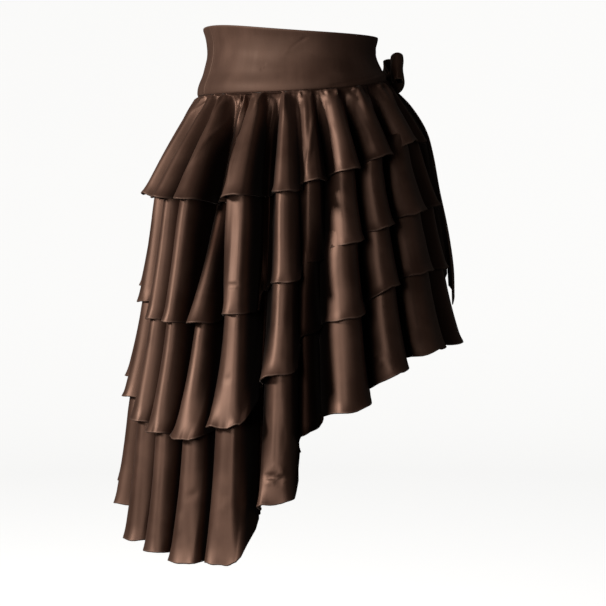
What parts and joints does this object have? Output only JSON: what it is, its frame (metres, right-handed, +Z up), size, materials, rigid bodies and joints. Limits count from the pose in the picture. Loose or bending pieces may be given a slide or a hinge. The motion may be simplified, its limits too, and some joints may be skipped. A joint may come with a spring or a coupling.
{
  "type": "high-low skirt",
  "caption": "Satin wrap skirt, short in front and long behind, with a wide shaped yoke, gathered overlapping tiers and a ribbon bow at the side front.",
  "frame": {"origin": "centre of the opening at the natural waist, the level where the yoke is narrowest", "axes": "+Z up, -Y towards the wearer's front, -X towards the wearer's right"},
  "size_m": [0.4625, 0.4475, 0.6865],
  "materials": {
    "satin": "dark chocolate-brown satin with a soft sheen"
  },
  "bodies": {
    "root": {"yoke_right": "satin", "yoke_left": "satin", "tier_1": "satin", "tier_2": "satin", "tier_3": "satin", "tier_4": "satin", "tie_knot": "satin", "tie_loop_right": "satin", "tie_loop_left": "satin", "tie_tail_right": "satin", "tie_tail_left": "satin"}
  },
  "joints": []
}
